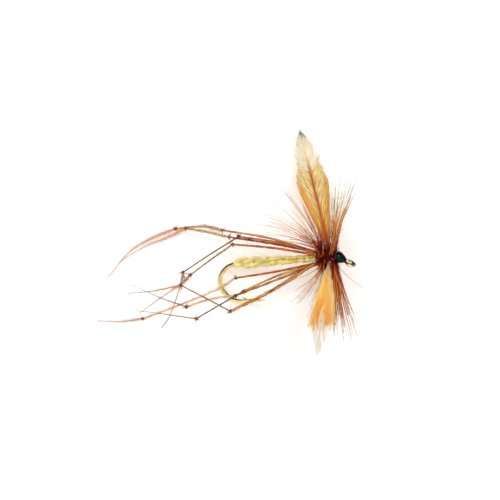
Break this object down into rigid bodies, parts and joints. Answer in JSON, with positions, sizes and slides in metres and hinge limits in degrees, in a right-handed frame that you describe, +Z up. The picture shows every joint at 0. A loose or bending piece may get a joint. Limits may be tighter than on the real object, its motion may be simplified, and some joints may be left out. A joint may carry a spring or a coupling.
{
  "type": "dry fly",
  "caption": "Long-legged dry fly on a bronzed down-eye hook: yellow dubbed body, knotted fibre legs, feather-point wings, swept ginger hackle and a dark varnished head.",
  "frame": {"origin": "centre of the hook's eye", "axes": "the fly lies on its side, +Z up; +X runs from the trailing legs towards the eye; +Y is the side of the wing that lies low"},
  "size_m": [0.0383, 0.0328, 0.0208],
  "materials": {
    "bronzed_steel": "satin",
    "tying_thread": "satin",
    "yellow_dubbing": "matte",
    "ginger_hackle": "satin",
    "wing_feather": "satin",
    "head_thread": "satin",
    "head_varnish": "gloss",
    "leg_fibre": "satin",
    "leg_knot": "satin"
  },
  "bodies": {
    "fly_body": {"hook": "bronzed_steel", "thread_base": "tying_thread", "abdomen_dubbing": "yellow_dubbing", "leg_wraps": "tying_thread", "wing_wraps": "tying_thread", "rear_hackle": "ginger_hackle", "front_hackle": "ginger_hackle", "head_thread": "head_thread", "head_varnish": "head_varnish"},
    "wing_far": {"wing_far": "wing_feather"},
    "wing_near": {"wing_near": "wing_feather"},
    "leg_1_upper": {"leg_1_upper": "leg_fibre", "leg_1_knee_knot": "leg_knot"},
    "leg_1_lower": {"leg_1_middle": "leg_fibre", "leg_1_ankle_knot": "leg_knot", "leg_1_tip": "leg_fibre"},
    "leg_2_upper": {"leg_2_upper": "leg_fibre", "leg_2_knee_knot": "leg_knot"},
    "leg_2_lower": {"leg_2_middle": "leg_fibre", "leg_2_ankle_knot": "leg_knot", "leg_2_tip": "leg_fibre"},
    "leg_3_upper": {"leg_3_upper": "leg_fibre", "leg_3_knee_knot": "leg_knot"},
    "leg_3_lower": {"leg_3_middle": "leg_fibre", "leg_3_ankle_knot": "leg_knot", "leg_3_tip": "leg_fibre"},
    "leg_4_upper": {"leg_4_upper": "leg_fibre", "leg_4_knee_knot": "leg_knot"},
    "leg_4_lower": {"leg_4_middle": "leg_fibre", "leg_4_ankle_knot": "leg_knot", "leg_4_tip": "leg_fibre"},
    "leg_5_upper": {"leg_5_upper": "leg_fibre", "leg_5_knee_knot": "leg_knot"},
    "leg_5_lower": {"leg_5_middle": "leg_fibre", "leg_5_ankle_knot": "leg_knot", "leg_5_tip": "leg_fibre"},
    "leg_6_upper": {"leg_6_upper": "leg_fibre", "leg_6_knee_knot": "leg_knot"},
    "leg_6_lower": {"leg_6_middle": "leg_fibre", "leg_6_ankle_knot": "leg_knot", "leg_6_tip": "leg_fibre"},
    "leg_7_upper": {"leg_7_upper": "leg_fibre", "leg_7_knee_knot": "leg_knot"},
    "leg_7_lower": {"leg_7_middle": "leg_fibre", "leg_7_ankle_knot": "leg_knot", "leg_7_tip": "leg_fibre"},
    "leg_8_upper": {"leg_8_upper": "leg_fibre", "leg_8_knee_knot": "leg_knot"},
    "leg_8_lower": {"leg_8_middle": "leg_fibre", "leg_8_ankle_knot": "leg_knot", "leg_8_tip": "leg_fibre"}
  },
  "joints": [
    {"name": "wing_far_flex", "type": "hinge", "parent": "fly_body", "child": "wing_far", "pos_m": [-0.00304, 0.00171, -0.00077], "axis": [0.0067, 0.2728, 0.9621], "range_deg": [-6, 6], "stiffness_Nm_per_rad": 0.00004},
    {"name": "wing_near_flex", "type": "hinge", "parent": "fly_body", "child": "wing_near", "pos_m": [-0.00316, 0.00045, -0.0001], "axis": [0.0049, 0.7119, 0.7022], "range_deg": [-6, 6], "stiffness_Nm_per_rad": 0.00004},
    {"name": "leg_1_hip", "type": "hinge", "parent": "fly_body", "child": "leg_1_upper", "pos_m": [-0.00496, 0.00168, -0.00164], "axis": [0, 0, 1], "range_deg": [-8, 8], "stiffness_Nm_per_rad": 0.000006},
    {"name": "leg_1_knee", "type": "hinge", "parent": "leg_1_upper", "child": "leg_1_lower", "pos_m": [-0.01887, 0.00496, -0.0062], "axis": [0, 0, 1], "range_deg": [-12, 12], "stiffness_Nm_per_rad": 0.000002},
    {"name": "leg_2_hip", "type": "hinge", "parent": "fly_body", "child": "leg_2_upper", "pos_m": [-0.0051, 0.00176, -0.00123], "axis": [0, 0, 1], "range_deg": [-8, 8], "stiffness_Nm_per_rad": 0.000006},
    {"name": "leg_2_knee", "type": "hinge", "parent": "leg_2_upper", "child": "leg_2_lower", "pos_m": [-0.01783, 0.00392, -0.0055], "axis": [0, 0, 1], "range_deg": [-12, 12], "stiffness_Nm_per_rad": 0.000002},
    {"name": "leg_3_hip", "type": "hinge", "parent": "fly_body", "child": "leg_3_upper", "pos_m": [-0.00522, 0.00164, -0.00084], "axis": [0, 0, 1], "range_deg": [-8, 8], "stiffness_Nm_per_rad": 0.000006},
    {"name": "leg_3_knee", "type": "hinge", "parent": "leg_3_upper", "child": "leg_3_lower", "pos_m": [-0.0164, 0.004, -0.0044], "axis": [0, 0, 1], "range_deg": [-12, 12], "stiffness_Nm_per_rad": 0.000002},
    {"name": "leg_4_hip", "type": "hinge", "parent": "fly_body", "child": "leg_4_upper", "pos_m": [-0.0053, 0.00134, -0.00052], "axis": [0, 0, 1], "range_deg": [-8, 8], "stiffness_Nm_per_rad": 0.000006},
    {"name": "leg_4_knee", "type": "hinge", "parent": "leg_4_upper", "child": "leg_4_lower", "pos_m": [-0.0173, 0.00284, -0.0036], "axis": [0, 0, 1], "range_deg": [-12, 12], "stiffness_Nm_per_rad": 0.000002},
    {"name": "leg_5_hip", "type": "hinge", "parent": "fly_body", "child": "leg_5_upper", "pos_m": [-0.00477, 0.0001, -0.00184], "axis": [0, 0, 1], "range_deg": [-3, 8], "stiffness_Nm_per_rad": 0.000006},
    {"name": "leg_5_knee", "type": "hinge", "parent": "leg_5_upper", "child": "leg_5_lower", "pos_m": [-0.01684, -0.00215, -0.0029], "axis": [0, 0, 1], "range_deg": [-12, 12], "stiffness_Nm_per_rad": 0.000002},
    {"name": "leg_6_hip", "type": "hinge", "parent": "fly_body", "child": "leg_6_upper", "pos_m": [-0.00487, -0.0001, -0.00146], "axis": [0, 0, 1], "range_deg": [-8, 8], "stiffness_Nm_per_rad": 0.000006},
    {"name": "leg_6_knee", "type": "hinge", "parent": "leg_6_upper", "child": "leg_6_lower", "pos_m": [-0.01687, -0.00475, -0.0022], "axis": [0, 0, 1], "range_deg": [-12, 12], "stiffness_Nm_per_rad": 0.000002},
    {"name": "leg_7_hip", "type": "hinge", "parent": "fly_body", "child": "leg_7_upper", "pos_m": [-0.00501, -0.00011, -0.00104], "axis": [0, 0, 1], "range_deg": [-8, 8], "stiffness_Nm_per_rad": 0.000006},
    {"name": "leg_7_knee", "type": "hinge", "parent": "leg_7_upper", "child": "leg_7_lower", "pos_m": [-0.0157, -0.00407, -0.0015], "axis": [0, 0, 1], "range_deg": [-12, 12], "stiffness_Nm_per_rad": 0.000002},
    {"name": "leg_8_hip", "type": "hinge", "parent": "fly_body", "child": "leg_8_upper", "pos_m": [-0.00515, 0.00008, -0.00067], "axis": [0, 0, 1], "range_deg": [-8, 8], "stiffness_Nm_per_rad": 0.000006},
    {"name": "leg_8_knee", "type": "hinge", "parent": "leg_8_upper", "child": "leg_8_lower", "pos_m": [-0.0176, -0.00703, -0.0008], "axis": [0, 0, 1], "range_deg": [-12, 12], "stiffness_Nm_per_rad": 0.000002}
  ]
}
